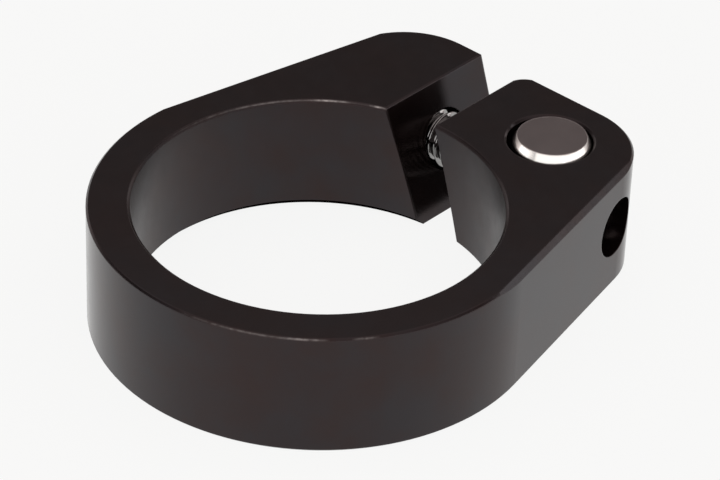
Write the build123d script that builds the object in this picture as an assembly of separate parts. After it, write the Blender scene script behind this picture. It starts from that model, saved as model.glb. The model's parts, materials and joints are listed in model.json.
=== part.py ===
from build123d import *
import math
import os

# Seatpost clamp in millimetres: a split collar whose two ears are drawn together by a cap screw
# threaded into a barrel nut. The origin is on the bore axis at half height, +Z runs up the bore,
# +X points from the bore to the ears and +Y to the ear that holds the screw's head.

# Collar ring and ears
bore_diameter = 31.8
wall = 3.73
height = 11.4
flank_angle = 11.8  # degrees that each flank leans in towards the ear axis
ear_corner_radius = 7.3
ear_end_from_screw = 6.45
rim_chamfer = 0.2
flank_bevel = 0.45  # flat bevel along each flank's top edge
bore_top_chamfer = 0.25
bore_lead_in = 0.8  # chamfer at the bottom edge, where the collar is pushed on

# Slit between the ears
slit_width = 4.6
slit_lean = 18.0  # degrees from upright, the top leaning to the head side
slit_offset = 1.55  # mid-plane to bore axis at half height, towards the head side
slit_edge_break = 0.1
nut_ear_corner_radius = 2.1
head_ear_corner_radius = 0.3

# Cap screw, M5
thread_diameter = 5.0
thread_tip_chamfer = 0.7
head_diameter = 8.5
head_height = 5.0
head_edge_chamfer = 0.4
socket_across_flats = 4.0
socket_depth = 2.6
socket_bottom_angle = 120.0  # degrees, included angle of the drilled cone
screw_from_bore = 5.55  # bore wall to screw axis
screw_rise = 0.3  # screw axis above half height
screw_hole_clearance = 0.25
head_sink = 0.8  # head end below the flank, on the screw axis
tip_past_nut_axis = 2.05

# Washer under the head
washer_thickness = 1.0
washer_overhang = 0.1  # washer rim beyond the head
washer_hole_clearance = 0.15
washer_edge_chamfer = 0.15
counterbore_clearance = 0.25

# Barrel nut
nut_wall = 1.0  # steel left beside the thread
nut_stand = 0.45  # nut end above the top face
nut_end_chamfer = 0.42  # across the nut
nut_end_taper = 0.75  # the same chamfer, along the nut
nut_from_ear_axis = 7.8  # nut axis to the mid-plane between the flanks
nut_thread_clearance = 0.06
nut_mouth_countersink = 0.35
nut_bore_clearance = 0.3
nut_bore_chamfer = 0.2
nut_slack = 0.2  # nut pushed away from the slit inside its bore

# Sizes worked out from the ones above
bore_radius = bore_diameter / 2
ring_radius = bore_radius + wall
half_height = height / 2
screw_x = bore_radius + screw_from_bore
ear_reach = screw_x + ear_end_from_screw
flank_sin = math.sin(math.radians(flank_angle))
flank_cos = math.cos(math.radians(flank_angle))
corner_x = ear_reach - ear_corner_radius
corner_y = (ring_radius - ear_corner_radius - corner_x * flank_sin) / flank_cos
flank_y_at_screw = (ring_radius - screw_x * flank_sin) / flank_cos
seat_y = flank_y_at_screw - head_sink - head_height - washer_thickness
under_head_y = seat_y + washer_thickness
screw_length = under_head_y + nut_from_ear_axis + tip_past_nut_axis
thread_radius = thread_diameter / 2
screw_hole_radius = thread_radius + screw_hole_clearance
head_radius = head_diameter / 2
washer_radius = head_radius + washer_overhang
counterbore_radius = washer_radius + counterbore_clearance
nut_radius = thread_radius + nut_wall
nut_length = height + 2 * (nut_stand - screw_rise)
nut_bore_radius = nut_radius + nut_bore_clearance
nut_bore_y = nut_slack - nut_from_ear_axis
lean = math.radians(slit_lean)
slit_half_span = slit_width / 2 / math.cos(lean)
nut_face_y = slit_offset - slit_half_span
head_face_y = slit_offset + slit_half_span
lean_direction = Vector(0, math.sin(lean), math.cos(lean))
past_part = 2 * ear_reach


def teardrop():
    """Ring and both ears as one prism: the hull of the ring circle and the two ear-corner circles."""
    ring = Circle(ring_radius)
    head_corner = Pos(corner_x, corner_y) * Circle(ear_corner_radius)
    nut_corner = Pos(corner_x, -corner_y) * Circle(ear_corner_radius)
    outline = make_hull(ring.edges() + head_corner.edges() + nut_corner.edges())
    prism = extrude(outline, half_height, both=True)
    rims = prism.faces().filter_by(Axis.Z).edges()
    return chamfer(rims, rim_chamfer) - above_bevel(1) - above_bevel(-1)


def above_bevel(side):
    """What a flat bevel takes off a flank's top edge; side is the flank's way in Y."""
    outward = Vector(flank_sin, side * flank_cos, 0)
    start = outward * (ring_radius - flank_bevel) + Vector(0, 0, half_height)
    slope = Plane(start, z_dir=outward + Vector(0, 0, 1))
    return extrude(slope * Rectangle(past_part, past_part), past_part)


def drilled(radius, top_chamfer, bottom_chamfer):
    """Upright drill through the full height that opens with a chamfer at each face."""
    tool = Cylinder(radius, past_part)
    for turn, depth in ((0, top_chamfer), (180, bottom_chamfer)):
        mouth = Pos(0, 0, half_height - depth / 2) * Cone(radius, radius + depth, depth)
        tool += Rot(turn, 0, 0) * mouth
    return tool


def slit():
    """Leaning slot from the bore out through the ears, with its edges broken at both faces."""
    rise = half_height - slit_edge_break
    shift = rise * math.tan(lean)
    rim_shift = half_height * math.tan(lean)
    flare = slit_edge_break
    profile = Polyline(
        (nut_face_y + rim_shift - flare, half_height),
        (nut_face_y + shift, rise),
        (nut_face_y - shift, -rise),
        (nut_face_y - rim_shift - flare, -half_height),
        (head_face_y - rim_shift + flare, -half_height),
        (head_face_y - shift, -rise),
        (head_face_y + shift, rise),
        (head_face_y + rim_shift + flare, half_height),
        close=True,
    )
    return extrude(Plane.YZ * make_face(profile), past_part)


def ear_corner(face_y, radius, side):
    """What a rounded corner takes off an ear between slit and end face; side is the ear's way in Y."""
    centre = Pos(ear_reach - radius, face_y + side * radius)
    square = Pos(ear_reach, face_y) * Rectangle(2 * radius, 2 * radius)
    waste = square - centre * Circle(radius)
    inside = Pos(ear_reach - radius / 2, face_y + side * radius / 2) * Rectangle(radius, radius)
    return extrude(waste & inside, past_part, dir=lean_direction, both=True)


def along_y(radius, start, end):
    """Round bar on the screw axis from one Y to another."""
    middle = Pos(screw_x, (start + end) / 2, screw_rise)
    return middle * Rot(90, 0, 0) * Cylinder(radius, end - start)


def collar():
    """Split collar: ring, flanks and ears in one piece, bored, slit and drilled across."""
    body = teardrop()
    body -= drilled(bore_radius, bore_top_chamfer, bore_lead_in)
    body -= slit()
    body -= ear_corner(nut_face_y, nut_ear_corner_radius, -1)
    body -= ear_corner(head_face_y, head_ear_corner_radius, 1)
    body -= Pos(screw_x, nut_bore_y, 0) * drilled(nut_bore_radius, nut_bore_chamfer, nut_bore_chamfer)
    body -= along_y(screw_hole_radius, -past_part, past_part)
    body -= along_y(counterbore_radius, seat_y, past_part)
    return body


def barrel_nut():
    """Cross dowel with chamfered ends, tapped through at half length with countersunk mouths."""
    end = nut_length / 2
    half_profile = Polyline(
        (0, -end),
        (nut_radius - nut_end_chamfer, -end),
        (nut_radius, nut_end_taper - end),
        (nut_radius, end - nut_end_taper),
        (nut_radius - nut_end_chamfer, end),
        (0, end),
        close=True,
    )
    dowel = revolve(Plane.XZ * make_face(half_profile), Axis.Z)
    tap_radius = thread_radius + nut_thread_clearance
    dowel -= Rot(90, 0, 0) * Cylinder(tap_radius, past_part)
    depth = nut_mouth_countersink
    mouth = Cone(tap_radius + depth, tap_radius, depth)
    for turn in (90, -90):
        dowel -= Rot(turn, 0, 0) * Pos(0, 0, depth / 2 - nut_radius) * mouth
    return Pos(screw_x, -nut_from_ear_axis, screw_rise) * dowel


def clamp_screw():
    """Socket-head cap screw lying along Y: head on the washer, tip in the barrel nut."""
    tip = thread_tip_chamfer
    half_profile = Polyline(
        (0, -screw_length),
        (thread_radius - tip, -screw_length),
        (thread_radius, tip - screw_length),
        (thread_radius, 0),
        (head_radius, 0),
        (head_radius, head_height - head_edge_chamfer),
        (head_radius - head_edge_chamfer, head_height),
        (0, head_height),
        close=True,
    )
    blank = revolve(Plane.XZ * make_face(half_profile), Axis.Z)
    hexagon = RegularPolygon(socket_across_flats / 2, 6, major_radius=False)
    socket_floor = head_height - socket_depth
    socket = Pos(0, 0, socket_floor) * extrude(hexagon, socket_depth)
    cone_depth = socket_across_flats / 2 / math.tan(math.radians(socket_bottom_angle / 2))
    drill_point = Pos(0, 0, socket_floor - cone_depth / 2) * Cone(0, socket_across_flats / 2, cone_depth)
    screw = blank - socket - drill_point
    return Pos(screw_x, under_head_y, screw_rise) * Rot(-90, 0, 0) * screw


def head_washer():
    """Plain washer seated in the counterbore, its rims chamfered."""
    disc = Cylinder(washer_radius, washer_thickness)
    disc = chamfer(disc.edges().filter_by(GeomType.CIRCLE), washer_edge_chamfer)
    disc -= Cylinder(thread_radius + washer_hole_clearance, past_part)
    return Pos(screw_x, seat_y + washer_thickness / 2, screw_rise) * Rot(90, 0, 0) * disc


os.makedirs("parts", exist_ok=True)
export_step(collar(), "parts/collar.step")
export_step(barrel_nut(), "parts/barrel_nut.step")
export_step(clamp_screw(), "parts/clamp_screw.step")
export_step(head_washer(), "parts/head_washer.step")
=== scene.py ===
"""Seatpost clamp: the finishes, the cut screw thread and a studio stage around the packed solids."""

import json
import math

import bpy
import numpy as np
from bpy.props import FloatProperty, FloatVectorProperty, IntProperty, PointerProperty
from bpy.types import NodeSocket, Operator, Panel, PropertyGroup
from mathutils import Matrix, Vector


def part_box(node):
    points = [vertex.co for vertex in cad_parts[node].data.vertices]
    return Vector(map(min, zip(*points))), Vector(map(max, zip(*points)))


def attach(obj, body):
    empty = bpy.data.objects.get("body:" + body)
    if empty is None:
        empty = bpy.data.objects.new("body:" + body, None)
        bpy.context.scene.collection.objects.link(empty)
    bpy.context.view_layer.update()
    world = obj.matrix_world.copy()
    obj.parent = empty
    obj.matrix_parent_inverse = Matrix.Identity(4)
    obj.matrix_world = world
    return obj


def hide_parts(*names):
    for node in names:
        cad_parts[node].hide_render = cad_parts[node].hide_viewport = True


bl_info = {
    "name": "Seatpost clamp",
    "version": (1, 0, 0),
    "blender": (4, 5, 0),
    "location": "3D View > Sidebar > Seat clamp",
    "description": "Dresses a split seat tube collar, its barrel nut and its cap screw",
    "category": "Object",
}

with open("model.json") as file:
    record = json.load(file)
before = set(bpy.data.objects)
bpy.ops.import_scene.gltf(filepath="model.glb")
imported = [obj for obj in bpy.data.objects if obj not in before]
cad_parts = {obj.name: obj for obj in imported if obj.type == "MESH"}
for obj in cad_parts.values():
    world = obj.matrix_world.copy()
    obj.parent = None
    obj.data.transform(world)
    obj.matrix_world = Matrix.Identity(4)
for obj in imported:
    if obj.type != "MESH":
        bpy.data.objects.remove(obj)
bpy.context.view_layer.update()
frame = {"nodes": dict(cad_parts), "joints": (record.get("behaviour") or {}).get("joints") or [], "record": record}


def joint_axis_point(name):
    """A point on the axis of the packed hinge of that name."""
    return next(Vector(joint["pos_m"]) for joint in frame["joints"] if joint["name"] == name)


screw_axis = joint_axis_point("screw_turn")
nut_axis = joint_axis_point("nut_swivel")
collar_low, collar_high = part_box("collar")
screw_low, screw_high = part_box("clamp_screw")
under_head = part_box("head_washer")[1].y
thread_pitch = 2 * math.pi / frame["record"]["behaviour"]["couplings"][0]["ratio"]
bore_radius = frame["record"]["mounts"][0]["dims"]["r_mm"] / 1000

# Rubbed dashes on the top edges of the bore and of the outer rim, which are also painted highlights: bare metal
# set where the camera sees glints on those edges. Bearing from +X in degrees, half length and share of the skin
# that is rubbed away
BORE_GLINT_DASHES = ((39.5, 0.0021, 1.0), (24.0, 0.0009, 0.9), (58.0, 0.0110, 0.22))
RIM_GLINT_DASHES = ((219.0, 0.0024, 0.6), (205.0, 0.0060, 0.25), (234.5, 0.0012, 0.35))
BORE_EDGE_OUT = 0.00015  # the bore's rubbed edge and painted highlight, outside its wall
RIM_EDGE_IN = 0.00009  # the rim's rubbed edge and painted highlight, inside the outer wall
RUBBED_GLINT_DROP = 0.0001  # both rubbed and painted highlight edges, below the top face
RUBBED_GLINT_CORE = 0.00002  # fully rubbed and painted bright up to this distance from the edge
RUBBED_GLINT_REACH = 0.00012  # and not at all past this one
FAINTEST_SPECK = 0.2  # share of a dash that its faintest specks keep

# The collar's zones
BORE_SKIN = 0.0002  # the bore's own roughness reaches this far outside its wall
LEAD_IN_REACH = 0.0009  # the matte lead-in at its bottom edge reaches this far
LEAD_IN_SLOPE = -0.35  # and takes only what faces down by more than this
SHEEN_LEVEL = 0.5  # specular level of the skin elsewhere
SHEEN_SPAN = (-0.2, 1.2)  # past 0 and 1, so that the sheen's clouds have even middles

# The nut's and the screw's details
END_SLOPE_SQUARED = 0.6  # a steeper face of the nut counts as its side
WAVE_RATE = 20  # radians that the wave texture runs through per scaled unit
CREST_HALF = 1 / 16  # half of the thread's crest flat, in pitches
FLANK_SPAN = 5 / 16  # one flank of the thread, in pitches
ROUNDING_ROWS = 5  # rows of points round the head's top edge
SOCKET_CONE = math.radians(60)  # slope of the drilled cone under the socket, from the axis

# Shader sockets and texture values
NOISE_SPAN = (0.3, 0.7)  # most of a noise texture's values lie between these
MIX_FIRST, MIX_SECOND, MIX_RESULT = 6, 7, 2  # colour sockets of the Mix node
STEP_HALF = 0.0001  # half of the span over which a step rises
BEVEL_SAMPLES = 6

# Soft boxes: degrees to the right of the camera's side, degrees up, distance, width and height
SOFT_BOXES = {
    "front_soft_box": (-5, 22, 0.7, 1.2, 0.5),
    "right_soft_box": (75, 17, 0.8, 1.2, 0.4),
    "left_soft_box": (-78, 11, 0.8, 0.9, 0.3),
}
WALL_FADE = (0.08, 0.42)  # the room darkens between these heights of the direction looked in
CEILING_FADE = (0.5, 0.8)  # and brightens again between these
FLOOR_LINES = 9
SENSOR_WIDTH = 36
NEAR_CLIP = 0.01


class CollarFinish(PropertyGroup):
    """Satin black anodising on the collar."""

    dye: FloatVectorProperty(
        name="Dye", description="Colour of the anodised skin", subtype="COLOR", size=3,
        default=(0.0030, 0.0018, 0.0017), min=0, max=1)
    faded_dye: FloatVectorProperty(
        name="Faded dye", description="Colour where the dye took less well", subtype="COLOR", size=3,
        default=(0.0046, 0.0027, 0.0025), min=0, max=1)
    # Colour of the rubbed dashes, which also stand as painted highlights on the collar's top edges
    bare_glint: FloatVectorProperty(
        name="Bare metal", description="Colour of the aluminium where an edge is rubbed",
        subtype="COLOR", size=3, default=(0.60, 0.57, 0.55), min=0, max=1)
    ior: FloatProperty(
        name="Gloss index", description="Index of refraction that sets the skin's gloss",
        default=1.462, min=1, max=3)
    roughness: FloatProperty(
        name="Roughness", description="Mean roughness of the satin skin", subtype="FACTOR",
        default=0.15, min=0, max=1)
    bore_roughness: FloatProperty(
        name="Bore roughness", description="Mean roughness of the bored wall that grips the tube",
        subtype="FACTOR", default=0.34, min=0, max=1)
    roughness_spread: FloatProperty(
        name="Roughness spread", description="How far the roughness wanders about its mean", subtype="FACTOR",
        default=0.03, min=0, max=0.2)
    sheen_warm: FloatVectorProperty(
        name="Warm sheen", description="Tint of the skin's reflections in its brown clouds",
        subtype="COLOR", size=3, default=(1.0, 0.73, 0.715), min=0, max=1)
    sheen_cool: FloatVectorProperty(
        name="Cool sheen", description="Tint of the skin's reflections between the clouds",
        subtype="COLOR", size=3, default=(0.93, 0.85, 0.91), min=0, max=1)
    sheen_size: FloatProperty(
        name="Sheen size", description="Width of the clouds in the sheen", unit="LENGTH",
        default=0.0072, min=0.0001)
    cloud_size: FloatProperty(
        name="Cloud size", description="Width of the faint clouds in the dye", unit="LENGTH",
        default=0.0045, min=0.0001)
    smear_size: FloatProperty(
        name="Smear size", description="Width of the smears in the roughness", unit="LENGTH",
        default=0.0015, min=0.0001)
    # The specks break up the rubbed edges and their painted highlights
    speck_size: FloatProperty(
        name="Speck size", description="Width of the specks in the rubbed edges", unit="LENGTH",
        default=0.0005, min=0.0001)
    grain_size: FloatProperty(
        name="Grain size", description="Width of one pit of the etched grain", unit="LENGTH",
        default=0.00009, min=0.00001)
    grain_depth: FloatProperty(
        name="Grain depth", description="Depth of the etched grain", unit="LENGTH",
        default=0.0000025, min=0)
    edge_radius: FloatProperty(
        name="Edge radius", description="Radius of the tumbled edges", unit="LENGTH", default=0.00012, min=0)


class NutFinish(PropertyGroup):
    """Bright turned steel on the barrel nut."""

    steel: FloatVectorProperty(
        name="Steel", description="Colour of the polished sides and chamfers", subtype="COLOR", size=3,
        default=(0.76, 0.735, 0.70), min=0, max=1)
    end_steel: FloatVectorProperty(
        name="End steel", description="Colour of the duller end faces", subtype="COLOR", size=3,
        default=(0.30, 0.27, 0.265), min=0, max=1)
    roughness: FloatProperty(
        name="Roughness", description="Mean roughness of the turned steel", subtype="FACTOR",
        default=0.2, min=0, max=1)
    roughness_spread: FloatProperty(
        name="Roughness spread", description="How far the roughness wanders about its mean", subtype="FACTOR",
        default=0.02, min=0, max=0.2)
    smear_size: FloatProperty(
        name="Smear size", description="Width of the smears in the roughness", unit="LENGTH",
        default=0.00108, min=0.0001)
    tool_mark_pitch: FloatProperty(
        name="Tool mark pitch", description="Spacing of the rings left by the lathe tool", unit="LENGTH",
        default=0.00009, min=0.00001)
    tool_mark_depth: FloatProperty(
        name="Tool mark depth", description="Depth of the rings left by the lathe tool", unit="LENGTH",
        default=0.0000008, min=0)
    edge_radius: FloatProperty(
        name="Edge radius", description="Radius of the tumbled edges", unit="LENGTH", default=0.0002, min=0)


class ScrewShape(PropertyGroup):
    """Cap screw with a cut thread, in the space of its plain solid."""

    thread_diameter: FloatProperty(
        name="Thread diameter", description="Outside diameter of the thread", unit="LENGTH",
        default=0.00496, min=0.001)
    thread_depth: FloatProperty(
        name="Thread depth", description="Crest to root of the thread", unit="LENGTH",
        default=0.00047, min=0.0001)
    tip_chamfer: FloatProperty(
        name="Tip chamfer", description="Chamfer that leads the thread in", unit="LENGTH",
        default=0.0007, min=0)
    neck: FloatProperty(
        name="Neck", description="Length under the head where the thread runs out", unit="LENGTH",
        default=0.0016, min=0.0001)
    head_edge: FloatProperty(
        name="Head edge", description="Radius of the head's rounded top edge", unit="LENGTH",
        default=0.0004, min=0)
    socket_across_flats: FloatProperty(
        name="Socket", description="Width across the flats of the hexagon socket", unit="LENGTH",
        default=0.004, min=0.001)
    socket_depth: FloatProperty(
        name="Socket depth", description="Depth of the socket's flats", unit="LENGTH",
        default=0.0026, min=0.0005)
    columns: IntProperty(
        name="Columns", description="Divisions round the screw", default=144, min=36)
    rows_per_turn: IntProperty(
        name="Rows per turn", description="Divisions along one turn of the thread", default=16, min=8)
    steel: FloatVectorProperty(
        name="Steel", description="Colour of the screw's steel", subtype="COLOR", size=3,
        default=(0.33, 0.325, 0.32), min=0, max=1)
    stained_steel: FloatVectorProperty(
        name="Stained steel", description="Colour of the steel's darker blotches", subtype="COLOR", size=3,
        default=(0.25, 0.245, 0.24), min=0, max=1)
    roughness: FloatProperty(
        name="Roughness", description="Mean roughness of the screw's steel", subtype="FACTOR",
        default=0.08, min=0, max=1)
    roughness_spread: FloatProperty(
        name="Roughness spread", description="How far the roughness wanders about its mean", subtype="FACTOR",
        default=0.03, min=0, max=0.2)


class StageLook(PropertyGroup):
    """Camera, floor, room and lamps."""

    view_turn: FloatProperty(
        name="View turn", description="Level heading of the camera, from +X towards +Y", subtype="ANGLE",
        default=math.radians(41.3023))
    view_fall: FloatProperty(
        name="View fall", description="How far the camera looks down", subtype="ANGLE",
        default=math.radians(34.8152))
    view_roll: FloatProperty(
        name="View roll", description="How far the camera leans to its right", subtype="ANGLE",
        default=math.radians(2.2527))
    view_distance: FloatProperty(
        name="View distance", description="Camera to the middle of the collar's lower rim", unit="LENGTH",
        default=0.306648)
    aim_right: FloatProperty(
        name="Aim right", description="How far right of that middle the camera aims", unit="LENGTH",
        default=0.0038955)
    aim_up: FloatProperty(
        name="Aim up", description="How far above that middle the camera aims", unit="LENGTH",
        default=0.0061255)
    lens: FloatProperty(
        name="Lens", description="Focal length on a sensor 36 mm wide", unit="CAMERA", default=177.52)
    floor: FloatVectorProperty(
        name="Floor", description="Colour of the pale floor", subtype="COLOR", size=3,
        default=(0.955, 0.957, 0.952), min=0, max=1)
    floor_size: FloatProperty(
        name="Floor size", description="Side of the square floor", unit="LENGTH", default=4.0)
    floor_glow: FloatProperty(
        name="Floor glow", description="Share of the floor's colour that no shadow reaches", subtype="FACTOR",
        default=0.93, min=0, max=1)
    room_tint: FloatVectorProperty(
        name="Room tint", description="Colour of the room's light", subtype="COLOR", size=3,
        default=(1.0, 0.89, 0.88), min=0, max=1)
    horizon: FloatProperty(
        name="Horizon", description="Brightness of the room at eye level", default=0.8, min=0)
    dim_band: FloatProperty(
        name="Dim band", description="Brightness of the room's upper walls", default=0.175, min=0)
    overhead: FloatProperty(
        name="Overhead", description="Brightness of the ceiling", default=0.8, min=0)
    lamp_radiance: FloatProperty(
        name="Lamps", description="Brightness of the soft boxes", default=1.24, min=0)


SETTING_GROUPS = (
    ("collar_finish", CollarFinish),
    ("nut_finish", NutFinish),
    ("screw_shape", ScrewShape),
    ("stage_look", StageLook),
)


class ClampSettings(PropertyGroup):
    """Everything that a user of the clamp can change."""

    collar_finish: PointerProperty(
        type=CollarFinish, name="Collar finish", description="Skin of the split collar")
    nut_finish: PointerProperty(
        type=NutFinish, name="Nut finish", description="Steel of the barrel nut")
    screw_shape: PointerProperty(
        type=ScrewShape, name="Screw shape", description="Thread, head, socket and steel of the cap screw")
    stage_look: PointerProperty(
        type=StageLook, name="Stage look", description="What stands round the clamp in a picture")


def settings(context):
    """The clamp's settings in this scene."""
    return context.scene.seat_clamp


class NodeBoard:
    """A fresh material's node tree, with short calls to add nodes and wires."""

    def __init__(self, name):
        self.material = bpy.data.materials.new(name)
        self.material.use_nodes = True
        self.tree = self.material.node_tree
        self.tree.nodes.clear()
        self.output = self.add("ShaderNodeOutputMaterial")

    def add(self, kind, **values):
        """A node of that kind: a value is for an attribute of the node or else for an input socket."""
        node = self.tree.nodes.new(kind)
        for key, value in values.items():
            if hasattr(node, key):
                setattr(node, key, value)
            else:
                node.inputs[key.replace("_", " ")].default_value = value
        return node

    def wire(self, start, end):
        """A wire from an output socket to an input socket."""
        self.tree.links.new(start, end)

    def principled(self, **values):
        """The surface shader, wired to the output."""
        shader = self.add("ShaderNodeBsdfPrincipled", **values)
        self.wire(shader.outputs["BSDF"], self.output.inputs["Surface"])
        return shader

    def object_point(self, centre=(0, 0, 0)):
        """Object coordinates measured from a centre."""
        point = self.add("ShaderNodeTexCoord")
        mapping = self.add("ShaderNodeMapping", vector_type="POINT")
        mapping.inputs["Location"].default_value = [-part for part in centre]
        self.wire(point.outputs["Object"], mapping.inputs["Vector"])
        return mapping.outputs["Vector"]

    def slope(self):
        """How far the surface faces up, from -1 to 1, in the object's own space."""
        facing = self.add("ShaderNodeTexCoord")
        parts = self.add("ShaderNodeSeparateXYZ")
        self.wire(facing.outputs["Normal"], parts.inputs["Vector"])
        return parts.outputs["Z"]

    def noise(self, point, size, detail=2.0, roughness=0.5):
        """Noise from 0 to 1 whose features are about that size."""
        node = self.add("ShaderNodeTexNoise", Scale=1 / size, Detail=detail, Roughness=roughness)
        self.wire(point, node.inputs["Vector"])
        return node.outputs["Fac"]

    def mapped(self, value, from_span, to_span):
        """A value carried from one span to another and held at its ends."""
        node = self.add(
            "ShaderNodeMapRange",
            From_Min=from_span[0], From_Max=from_span[1], To_Min=to_span[0], To_Max=to_span[1])
        self.wire(value, node.inputs["Value"])
        return node.outputs["Result"]

    def ranged(self, noise, low, high):
        """A noise value stretched to run from low to high."""
        return self.mapped(noise, NOISE_SPAN, (low, high))

    def step(self, value, place, below, above):
        """A level that steps sharply from one to another as the value passes a place."""
        return self.mapped(value, (place - STEP_HALF, place + STEP_HALF), (below, above))

    def away_from(self, point, centre, near, far, most=1.0):
        """The most up to the near distance from a centre, falling to 0 at the far one."""
        gap = self.add("ShaderNodeVectorMath", operation="DISTANCE")
        gap.inputs[1].default_value = centre
        self.wire(point, gap.inputs[0])
        return self.mapped(gap.outputs["Value"], (near, far), (most, 0.0))

    def blend(self, value, first, second):
        """A colour between two, by a 0 to 1 value. The first may be another node's output."""
        node = self.add("ShaderNodeMix", data_type="RGBA")
        if isinstance(first, NodeSocket):
            self.wire(first, node.inputs[MIX_FIRST])
        else:
            node.inputs[MIX_FIRST].default_value = (*first, 1)
        node.inputs[MIX_SECOND].default_value = (*second, 1)
        self.wire(value, node.inputs["Factor"])
        return node.outputs[MIX_RESULT]

    def math(self, operation, first, second):
        """Two values joined by a sum, a product or the like."""
        node = self.add("ShaderNodeMath", operation=operation)
        self.wire(first, node.inputs[0])
        self.wire(second, node.inputs[1])
        return node.outputs["Value"]

    def bump(self, height, depth, edge_radius):
        """A normal that rises and falls by that depth and turns over edges of that radius."""
        edge = self.add("ShaderNodeBevel", samples=BEVEL_SAMPLES, Radius=edge_radius)
        node = self.add("ShaderNodeBump", Strength=1.0, Distance=depth)
        self.wire(height, node.inputs["Height"])
        self.wire(edge.outputs["Normal"], node.inputs["Normal"])
        return node.outputs["Normal"]


def turned_point(board, point):
    """The point's distance from the bore's axis, and a vector of that distance and the point's height."""
    level = board.add("ShaderNodeVectorMath", operation="MULTIPLY")
    level.inputs[1].default_value = (1, 1, 0)
    board.wire(point, level.inputs[0])
    reach = board.add("ShaderNodeVectorMath", operation="LENGTH")
    board.wire(level.outputs["Vector"], reach.inputs[0])
    parts = board.add("ShaderNodeSeparateXYZ")
    board.wire(point, parts.inputs["Vector"])
    turned = board.add("ShaderNodeCombineXYZ")
    board.wire(reach.outputs["Value"], turned.inputs["X"])
    board.wire(parts.outputs["Z"], turned.inputs["Y"])
    return reach.outputs["Value"], turned.outputs["Vector"]


def rubbed_glint_edge(board, point, turned, radius, glint_dashes):
    """A mask of rubbed dashes along a round top edge, which also serve as a painted highlight: near the edge's
    circle and near a dash's middle.
    """
    level = collar_high.z - RUBBED_GLINT_DROP
    edge = board.away_from(turned, (radius, level, 0), RUBBED_GLINT_CORE, RUBBED_GLINT_REACH)
    nearest = None
    for bearing, half, strength in glint_dashes:
        angle = math.radians(bearing)
        middle = (radius * math.cos(angle), radius * math.sin(angle), level)
        dash = board.away_from(point, middle, 0.0, half, strength)
        nearest = dash if nearest is None else board.math("MAXIMUM", nearest, dash)
    return board.math("MULTIPLY", edge, nearest)


def black_anodising(look):
    """Satin black skin: clouds in its dye and its sheen, an etched grain, a rougher bore and rubbed edges that are
    also painted highlights.
    """
    board = NodeBoard("black_anodising")
    point = board.object_point()
    shader = board.principled(IOR=look.ior)
    reach, turned = turned_point(board, point)

    clouds = board.ranged(board.noise(point, look.cloud_size, detail=3.0), 0.0, 1.0)
    dyed = board.blend(clouds, look.dye, look.faded_dye)
    # Painted highlight: bare metal dashes on the top edges where the camera sees glints, also standing as rubbed
    # wear
    glint_dashes = board.math(
        "MAXIMUM",
        rubbed_glint_edge(board, point, turned, bore_radius + BORE_EDGE_OUT, BORE_GLINT_DASHES),
        rubbed_glint_edge(board, point, turned, -collar_low.x - RIM_EDGE_IN, RIM_GLINT_DASHES))
    specks = board.ranged(board.noise(point, look.speck_size), FAINTEST_SPECK, 1.0)
    rubbed_glint = board.math("MULTIPLY", glint_dashes, specks)
    board.wire(board.blend(rubbed_glint, dyed, look.bare_glint), shader.inputs["Base Color"])
    board.wire(rubbed_glint, shader.inputs["Metallic"])

    drift = board.ranged(board.noise(point, look.sheen_size, detail=4.0, roughness=0.6), *SHEEN_SPAN)
    board.wire(board.blend(drift, look.sheen_warm, look.sheen_cool), shader.inputs["Specular Tint"])
    beside_lead_in = board.step(reach, bore_radius + LEAD_IN_REACH, 0.0, SHEEN_LEVEL)
    above_lead_in = board.step(board.slope(), LEAD_IN_SLOPE, 0.0, SHEEN_LEVEL)
    board.wire(board.math("MAXIMUM", beside_lead_in, above_lead_in), shader.inputs["Specular IOR Level"])

    smears = board.noise(point, look.smear_size, detail=4.0, roughness=0.6)
    spread = board.ranged(smears, -look.roughness_spread, look.roughness_spread)
    mean = board.step(reach, bore_radius + BORE_SKIN, look.bore_roughness, look.roughness)
    board.wire(board.math("ADD", spread, mean), shader.inputs["Roughness"])

    grain = board.noise(point, look.grain_size)
    board.wire(board.bump(grain, look.grain_depth, look.edge_radius), shader.inputs["Normal"])
    return board.material


def smeared_roughness(board, noise, look):
    """A roughness that wanders about the finish's mean."""
    return board.ranged(noise, look.roughness - look.roughness_spread, look.roughness + look.roughness_spread)


def turned_steel(look):
    """Bright steel, duller on the nut's level ends, with the fine rings that a lathe tool leaves round it."""
    board = NodeBoard("turned_steel")
    point = board.object_point(nut_axis)
    shader = board.principled(Metallic=1.0)
    slope = board.slope()
    level = board.step(board.math("MULTIPLY", slope, slope), END_SLOPE_SQUARED, 0.0, 1.0)
    board.wire(board.blend(level, look.steel, look.end_steel), shader.inputs["Base Color"])
    rings = board.add("ShaderNodeTexWave", wave_type="RINGS", rings_direction="Z", Distortion=0.6)
    rings.inputs["Scale"].default_value = 2 * math.pi / (WAVE_RATE * look.tool_mark_pitch)
    board.wire(point, rings.inputs["Vector"])
    normal = board.bump(rings.outputs["Fac"], look.tool_mark_depth, look.edge_radius)
    board.wire(normal, shader.inputs["Normal"])
    smears = board.noise(point, look.smear_size, detail=3.0)
    board.wire(smeared_roughness(board, smears, look), shader.inputs["Roughness"])
    return board.material


def screw_steel(look):
    """Plain steel with slight blotches, a thread's depth wide, in its colour and its polish."""
    board = NodeBoard("screw_steel")
    point = board.object_point(screw_axis)
    shader = board.principled(Metallic=1.0)
    blotches = board.noise(point, look.thread_depth, detail=3.0)
    stain = board.ranged(blotches, 0.0, 1.0)
    board.wire(board.blend(stain, look.steel, look.stained_steel), shader.inputs["Base Color"])
    board.wire(smeared_roughness(board, blotches, look), shader.inputs["Roughness"])
    return board.material


def paint_node(node, material):
    """Gives a packed node another material and leaves its mesh alone."""
    slots = frame["nodes"][node].data.materials
    slots.clear()
    slots.append(material)


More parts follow.
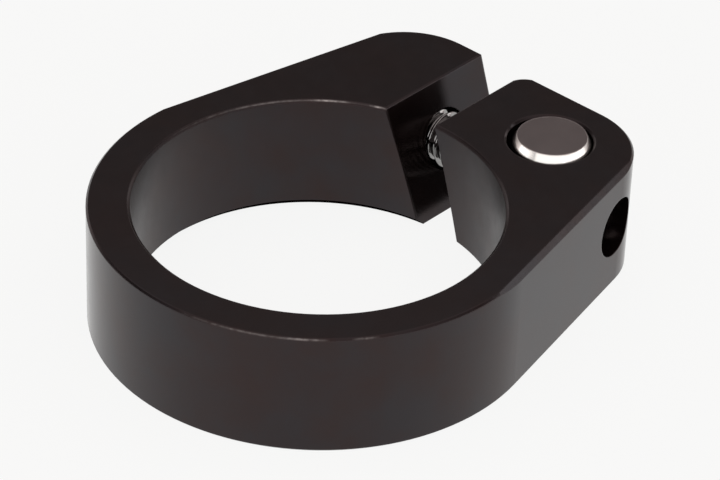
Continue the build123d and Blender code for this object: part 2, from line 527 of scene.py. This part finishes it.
def ring_mesh(name, points, sharp):
    """A closed mesh from points[row, column]: the columns go round, and the first and last rows are poles.

    sharp[row] marks the rings whose edge stays crisp. Faces run column first, so a ring that grows
    along +Y with columns turning from +Z to +X faces outwards.
    """
    rows, columns = points.shape[:2]
    rings = points[1:-1].reshape(-1, 3)
    verts = np.vstack([rings, points[0, :1], points[-1, :1]])
    first_pole, last_pole = len(rings), len(rings) + 1
    index = np.arange(len(rings)).reshape(rows - 2, columns)
    beside = np.roll(index, -1, axis=1)
    quads = np.stack([index[:-1], beside[:-1], beside[1:], index[1:]], axis=-1).reshape(-1, 4)
    start = np.stack([np.full(columns, first_pole), beside[0], index[0]], axis=-1)
    end = np.stack([index[-1], beside[-1], np.full(columns, last_pole)], axis=-1)
    mesh = bpy.data.meshes.new(name)
    mesh.from_pydata(verts.tolist(), [], quads.tolist() + start.tolist() + end.tolist())
    mesh.polygons.foreach_set("use_smooth", np.ones(len(mesh.polygons), bool))
    edges = np.empty(len(mesh.edges) * 2, np.int32)
    mesh.edges.foreach_get("vertices", edges)
    ends = edges.reshape(-1, 2)
    ring_of = np.append(np.repeat(np.arange(rows - 2), columns), [-1, -2])
    crisp = np.append(np.asarray(sharp[1:-1], bool), [False, False])
    same = ring_of[ends[:, 0]] == ring_of[ends[:, 1]]
    mesh.edges.foreach_set("use_edge_sharp", same & crisp[ring_of[ends[:, 0]]])
    mesh.update()
    return mesh


def thread_radius(along, turn, shape):
    """Radius of a right-hand thread with crest flats of an eighth pitch and root flats of a quarter.

    The phase is the distance along the axis in pitches less the turn, and its distance from a half
    gives the depth. A tip chamfer caps the radius, and the thread eases into the neck under the head.
    """
    crest = shape.thread_diameter / 2
    phase = np.mod(along / thread_pitch - turn / (2 * math.pi), 1.0)
    depth = np.clip((np.abs(phase - 0.5) - CREST_HALF) / FLANK_SPAN, 0, 1)
    fade = np.clip((under_head - along) / shape.neck, 0, 1)
    cut = crest - shape.thread_depth * depth * fade * fade * (3 - 2 * fade)
    lead_in = crest - shape.tip_chamfer + (along - screw_low.y)
    return np.minimum(cut, lead_in)


def cap_screw_points(shape):
    """Points[row, column] of the cap screw, from the middle of its tip to the bottom of its socket.

    Each block gives the radius, the place along the axis and the crisp edges of one or more rows. The
    socket's rows follow the hexagon's radius, the apothem over the cosine of the angle from the nearest
    flat's middle. A point stands at its radius times the sine and cosine of its column's turn.
    """
    turn = np.linspace(0, 2 * math.pi, shape.columns, endpoint=False)
    head_radius = (screw_high.x - screw_low.x) / 2
    top = screw_high.y
    edge = shape.head_edge
    under_edge, mouth_edge = edge / 2, edge / 3
    apothem = shape.socket_across_flats / 2
    sixth = math.pi / 3
    hexagon = apothem / np.cos(np.mod(turn + sixth / 2, sixth) - sixth / 2)
    floor = top - shape.socket_depth
    cone_bottom = floor - apothem / math.tan(SOCKET_CONE)
    row_count = round((under_head - screw_low.y) / thread_pitch * shape.rows_per_turn)
    along = np.linspace(screw_low.y, under_head, row_count)[:, None]
    bend = np.linspace(0, math.pi / 2, ROUNDING_ROWS)[:, None]
    smooth, crisp = [False], [True]
    blocks = (
        (0, screw_low.y, smooth),
        (thread_radius(along, turn, shape), along, crisp + smooth * (row_count - 2) + crisp),
        (head_radius - under_edge, under_head, crisp),
        (head_radius, under_head + under_edge, crisp),
        (head_radius - edge + edge * np.cos(bend), top - edge + edge * np.sin(bend), smooth * ROUNDING_ROWS),
        (hexagon + mouth_edge, top, crisp),
        (hexagon, top - mouth_edge, crisp),
        (hexagon, floor, crisp),
        (apothem, floor, crisp),
        (0, cone_bottom, smooth),
    )
    sharp = [flag for *_, flags in blocks for flag in flags]
    radius, place = (
        np.vstack([np.broadcast_to(block[part], (len(block[-1]), shape.columns)) for block in blocks])
        for part in range(2))
    points = np.stack(
        [screw_axis.x + radius * np.sin(turn), place, screw_axis.z + radius * np.cos(turn)], axis=-1)
    return points, sharp


class SEATCLAMP_OT_collar(Operator):
    """Finish the split collar in satin black anodising"""

    bl_idname = "seatclamp.collar"
    bl_label = "Collar"

    def execute(self, context):
        paint_node("collar", black_anodising(settings(context).collar_finish))
        return {"FINISHED"}


class SEATCLAMP_OT_barrel_nut(Operator):
    """Finish the barrel nut in bright turned steel"""

    bl_idname = "seatclamp.barrel_nut"
    bl_label = "Barrel nut"

    def execute(self, context):
        paint_node("barrel_nut", turned_steel(settings(context).nut_finish))
        return {"FINISHED"}


class SEATCLAMP_OT_cap_screw(Operator):
    """Cut the cap screw's thread, head and socket, and finish its washer in the same steel"""

    bl_idname = "seatclamp.cap_screw"
    bl_label = "Cap screw and washer"

    def execute(self, context):
        shape = settings(context).screw_shape
        points, sharp = cap_screw_points(shape)
        screw = bpy.data.objects.new("cap_screw", ring_mesh("cap_screw", points, sharp))
        context.scene.collection.objects.link(screw)
        steel = screw_steel(shape)
        screw.data.materials.append(steel)
        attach(screw, "screw")
        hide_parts("clamp_screw")
        paint_node("clamp_screw", steel)
        paint_node("head_washer", steel)
        return {"FINISHED"}


def floor_material(look):
    """Pale floor: partly lit, so that the shadow stays, and partly glowing for the camera and reflections."""
    board = NodeBoard("pale_floor")
    lit = board.add("ShaderNodeBsdfDiffuse", Color=(*look.floor, 1))
    glow = board.add("ShaderNodeEmission", Color=(*look.floor, 1), Strength=1.0)
    path = board.add("ShaderNodeLightPath")
    seen = board.math("MAXIMUM", path.outputs["Is Camera Ray"], path.outputs["Is Glossy Ray"])
    seen_through = board.math("MAXIMUM", seen, path.outputs["Is Transmission Ray"])
    share = board.add("ShaderNodeMath", operation="MULTIPLY")
    share.inputs[1].default_value = look.floor_glow
    board.wire(seen_through, share.inputs[0])
    mix = board.add("ShaderNodeMixShader")
    board.wire(share.outputs["Value"], mix.inputs["Fac"])
    board.wire(lit.outputs["BSDF"], mix.inputs[1])
    board.wire(glow.outputs["Emission"], mix.inputs[2])
    board.wire(mix.outputs["Shader"], board.output.inputs["Surface"])
    return board.material


def lay_floor(context, look):
    """A square floor at the collar's lower rim: a grid of two parameters, level all over."""
    side = np.linspace(-look.floor_size / 2, look.floor_size / 2, FLOOR_LINES)
    across, away = np.meshgrid(side, side)
    level = np.full(across.size, collar_low.z)
    points = np.stack([across.ravel(), away.ravel(), level], axis=-1)
    index = np.arange(across.size).reshape(across.shape)
    corners = [index[:-1, :-1], index[:-1, 1:], index[1:, 1:], index[1:, :-1]]
    quads = np.stack(corners, axis=-1).reshape(-1, 4)
    mesh = bpy.data.meshes.new("floor")
    mesh.from_pydata(points.tolist(), [], quads.tolist())
    floor = bpy.data.objects.new("floor", mesh)
    context.scene.collection.objects.link(floor)
    mesh.materials.append(floor_material(look))


def room_fade(tree, height, heights, below, above):
    """A brightness that eases from one level to another between two heights of the direction looked in."""
    fade = tree.nodes.new("ShaderNodeMapRange")
    fade.interpolation_type = "SMOOTHSTEP"
    values = {"From Min": heights[0], "From Max": heights[1], "To Min": below, "To Max": above}
    for name, value in values.items():
        fade.inputs[name].default_value = value
    tree.links.new(height, fade.inputs["Value"])
    return fade.outputs["Result"]


def light_room(context, look):
    """A plain room: bright at eye level, dim along its upper walls and bright again overhead."""
    world = bpy.data.worlds.new("room")
    context.scene.world = world
    world.use_nodes = True
    tree = world.node_tree
    background = next(node for node in tree.nodes if node.type == "BACKGROUND")
    background.inputs["Color"].default_value = (*look.room_tint, 1)
    point = tree.nodes.new("ShaderNodeTexCoord")
    split = tree.nodes.new("ShaderNodeSeparateXYZ")
    total = tree.nodes.new("ShaderNodeMath")
    tree.links.new(point.outputs["Generated"], split.inputs["Vector"])
    height = split.outputs["Z"]
    walls = room_fade(tree, height, WALL_FADE, look.horizon, look.dim_band)
    ceiling = room_fade(tree, height, CEILING_FADE, 0.0, look.overhead - look.dim_band)
    tree.links.new(walls, total.inputs[0])
    tree.links.new(ceiling, total.inputs[1])
    tree.links.new(total.outputs["Value"], background.inputs["Strength"])


def camera_heading(look):
    """Level directions ahead of the camera and to its right."""
    ahead = Vector((math.cos(look.view_turn), math.sin(look.view_turn), 0))
    return ahead, Vector((ahead.y, -ahead.x, 0))


def hang_lamp(context, look, name, turn, rise, distance, width, height):
    """A soft box aimed at the clamp, turned to the camera's right and raised by those degrees.

    Its power is pi times its area times the radiance that it shows.
    """
    ahead, right = camera_heading(look)
    level = -ahead * math.cos(math.radians(turn)) + right * math.sin(math.radians(turn))
    way = level * math.cos(math.radians(rise)) + Vector((0, 0, math.sin(math.radians(rise))))
    data = bpy.data.lights.new(name, "AREA")
    data.shape = "RECTANGLE"
    data.size = width
    data.size_y = height
    data.energy = math.pi * width * height * look.lamp_radiance
    lamp = bpy.data.objects.new(name, data)
    lamp.location = way * distance
    lamp.rotation_euler = (-way).to_track_quat("-Z", "Y").to_euler()
    context.scene.collection.objects.link(lamp)


def place_camera(context, look):
    """The camera at the photograph's angle.

    It looks down along its heading, leans by its roll and aims a little beside the middle of the
    collar's lower rim.
    """
    ahead, right = camera_heading(look)
    rise = Vector((0, 0, 1))
    forward = ahead * math.cos(look.view_fall) - rise * math.sin(look.view_fall)
    up = ahead * math.sin(look.view_fall) + rise * math.cos(look.view_fall)
    leant_right = right * math.cos(look.view_roll) + up * math.sin(look.view_roll)
    leant_up = up * math.cos(look.view_roll) - right * math.sin(look.view_roll)
    target = Vector((0, 0, collar_low.z)) + leant_right * look.aim_right + leant_up * look.aim_up
    data = bpy.data.cameras.new("photo_camera")
    data.sensor_width = SENSOR_WIDTH
    data.lens = look.lens
    data.clip_start = NEAR_CLIP
    camera = bpy.data.objects.new("photo_camera", data)
    turned = Matrix((leant_right, leant_up, -forward)).transposed().to_4x4()
    camera.matrix_world = Matrix.Translation(target - forward * look.view_distance) @ turned
    context.scene.collection.objects.link(camera)
    context.scene.camera = camera


class SEATCLAMP_OT_stage(Operator):
    """Set out the floor, the room, the lamps and the camera"""

    bl_idname = "seatclamp.stage"
    bl_label = "Stage"

    def execute(self, context):
        look = settings(context).stage_look
        context.scene.view_settings.view_transform = "Standard"
        lay_floor(context, look)
        light_room(context, look)
        for name, place_and_size in SOFT_BOXES.items():
            hang_lamp(context, look, name, *place_and_size)
        place_camera(context, look)
        return {"FINISHED"}


BUILD_ORDER = (SEATCLAMP_OT_stage, SEATCLAMP_OT_collar, SEATCLAMP_OT_barrel_nut, SEATCLAMP_OT_cap_screw)


class VIEW3D_PT_seat_clamp(Panel):
    """Sizes, finishes and build steps of the seatpost clamp"""

    bl_label = "Seatpost clamp"
    bl_space_type = "VIEW_3D"
    bl_region_type = "UI"
    bl_category = "Seat clamp"

    def draw(self, context):
        for name, group in SETTING_GROUPS:
            box = self.layout.box()
            box.label(text=group.__doc__.rstrip("."))
            values = getattr(settings(context), name)
            for key in group.__annotations__:
                box.prop(values, key)
        for operator in BUILD_ORDER:
            self.layout.operator(operator.bl_idname)


CLASSES = (*(group for _, group in SETTING_GROUPS), ClampSettings, *BUILD_ORDER, VIEW3D_PT_seat_clamp)


def register():
    for cls in CLASSES:
        bpy.utils.register_class(cls)
    bpy.types.Scene.seat_clamp = PointerProperty(
        type=ClampSettings, name="Seatpost clamp", description="Sizes and finishes of the seatpost clamp")


def unregister():
    del bpy.types.Scene.seat_clamp
    for cls in reversed(CLASSES):
        bpy.utils.unregister_class(cls)


def main():
    """Registers the add-on and runs its steps in order."""
    register()
    for operator in BUILD_ORDER:
        group, name = operator.bl_idname.split(".")
        getattr(getattr(bpy.ops, group), name)()


if __name__ == "__main__":
    main()
